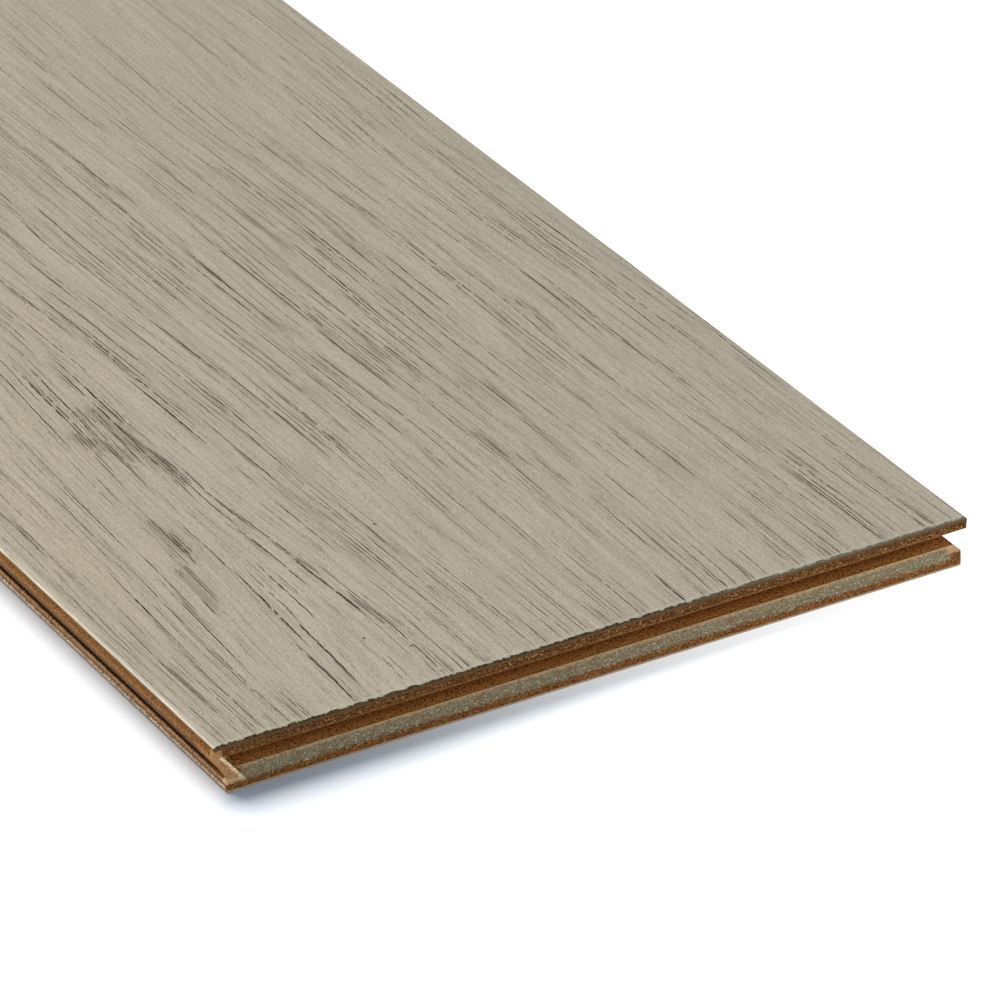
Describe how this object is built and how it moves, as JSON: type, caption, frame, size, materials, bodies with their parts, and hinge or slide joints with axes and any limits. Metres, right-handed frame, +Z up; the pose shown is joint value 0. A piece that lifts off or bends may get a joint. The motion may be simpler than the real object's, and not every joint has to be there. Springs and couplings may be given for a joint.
{
  "type": "wide plank floorboard",
  "caption": "Wide engineered floorboard with a greige wood veneer face on a brown fibreboard core, milled with a groove, slot and tongue for its neighbours.",
  "frame": {"origin": "on the underside of the backing layer, below the middle of the face", "axes": "+Y along the board to the tongued far end, +X across it to the grooved long side, +Z up out of the face"},
  "size_m": [0.19, 1.2245, 0.012],
  "materials": {
    "hdf_core": "raw milled fibreboard, waxed grey green on the near lower lip",
    "face_veneer": "wire brushed greige stain under a matt lacquer",
    "backing_layer": "plain light balancing veneer"
  },
  "bodies": {
    "root": {"hdf_core": "hdf_core", "face_veneer": "face_veneer", "backing_layer": "backing_layer"}
  },
  "joints": []
}
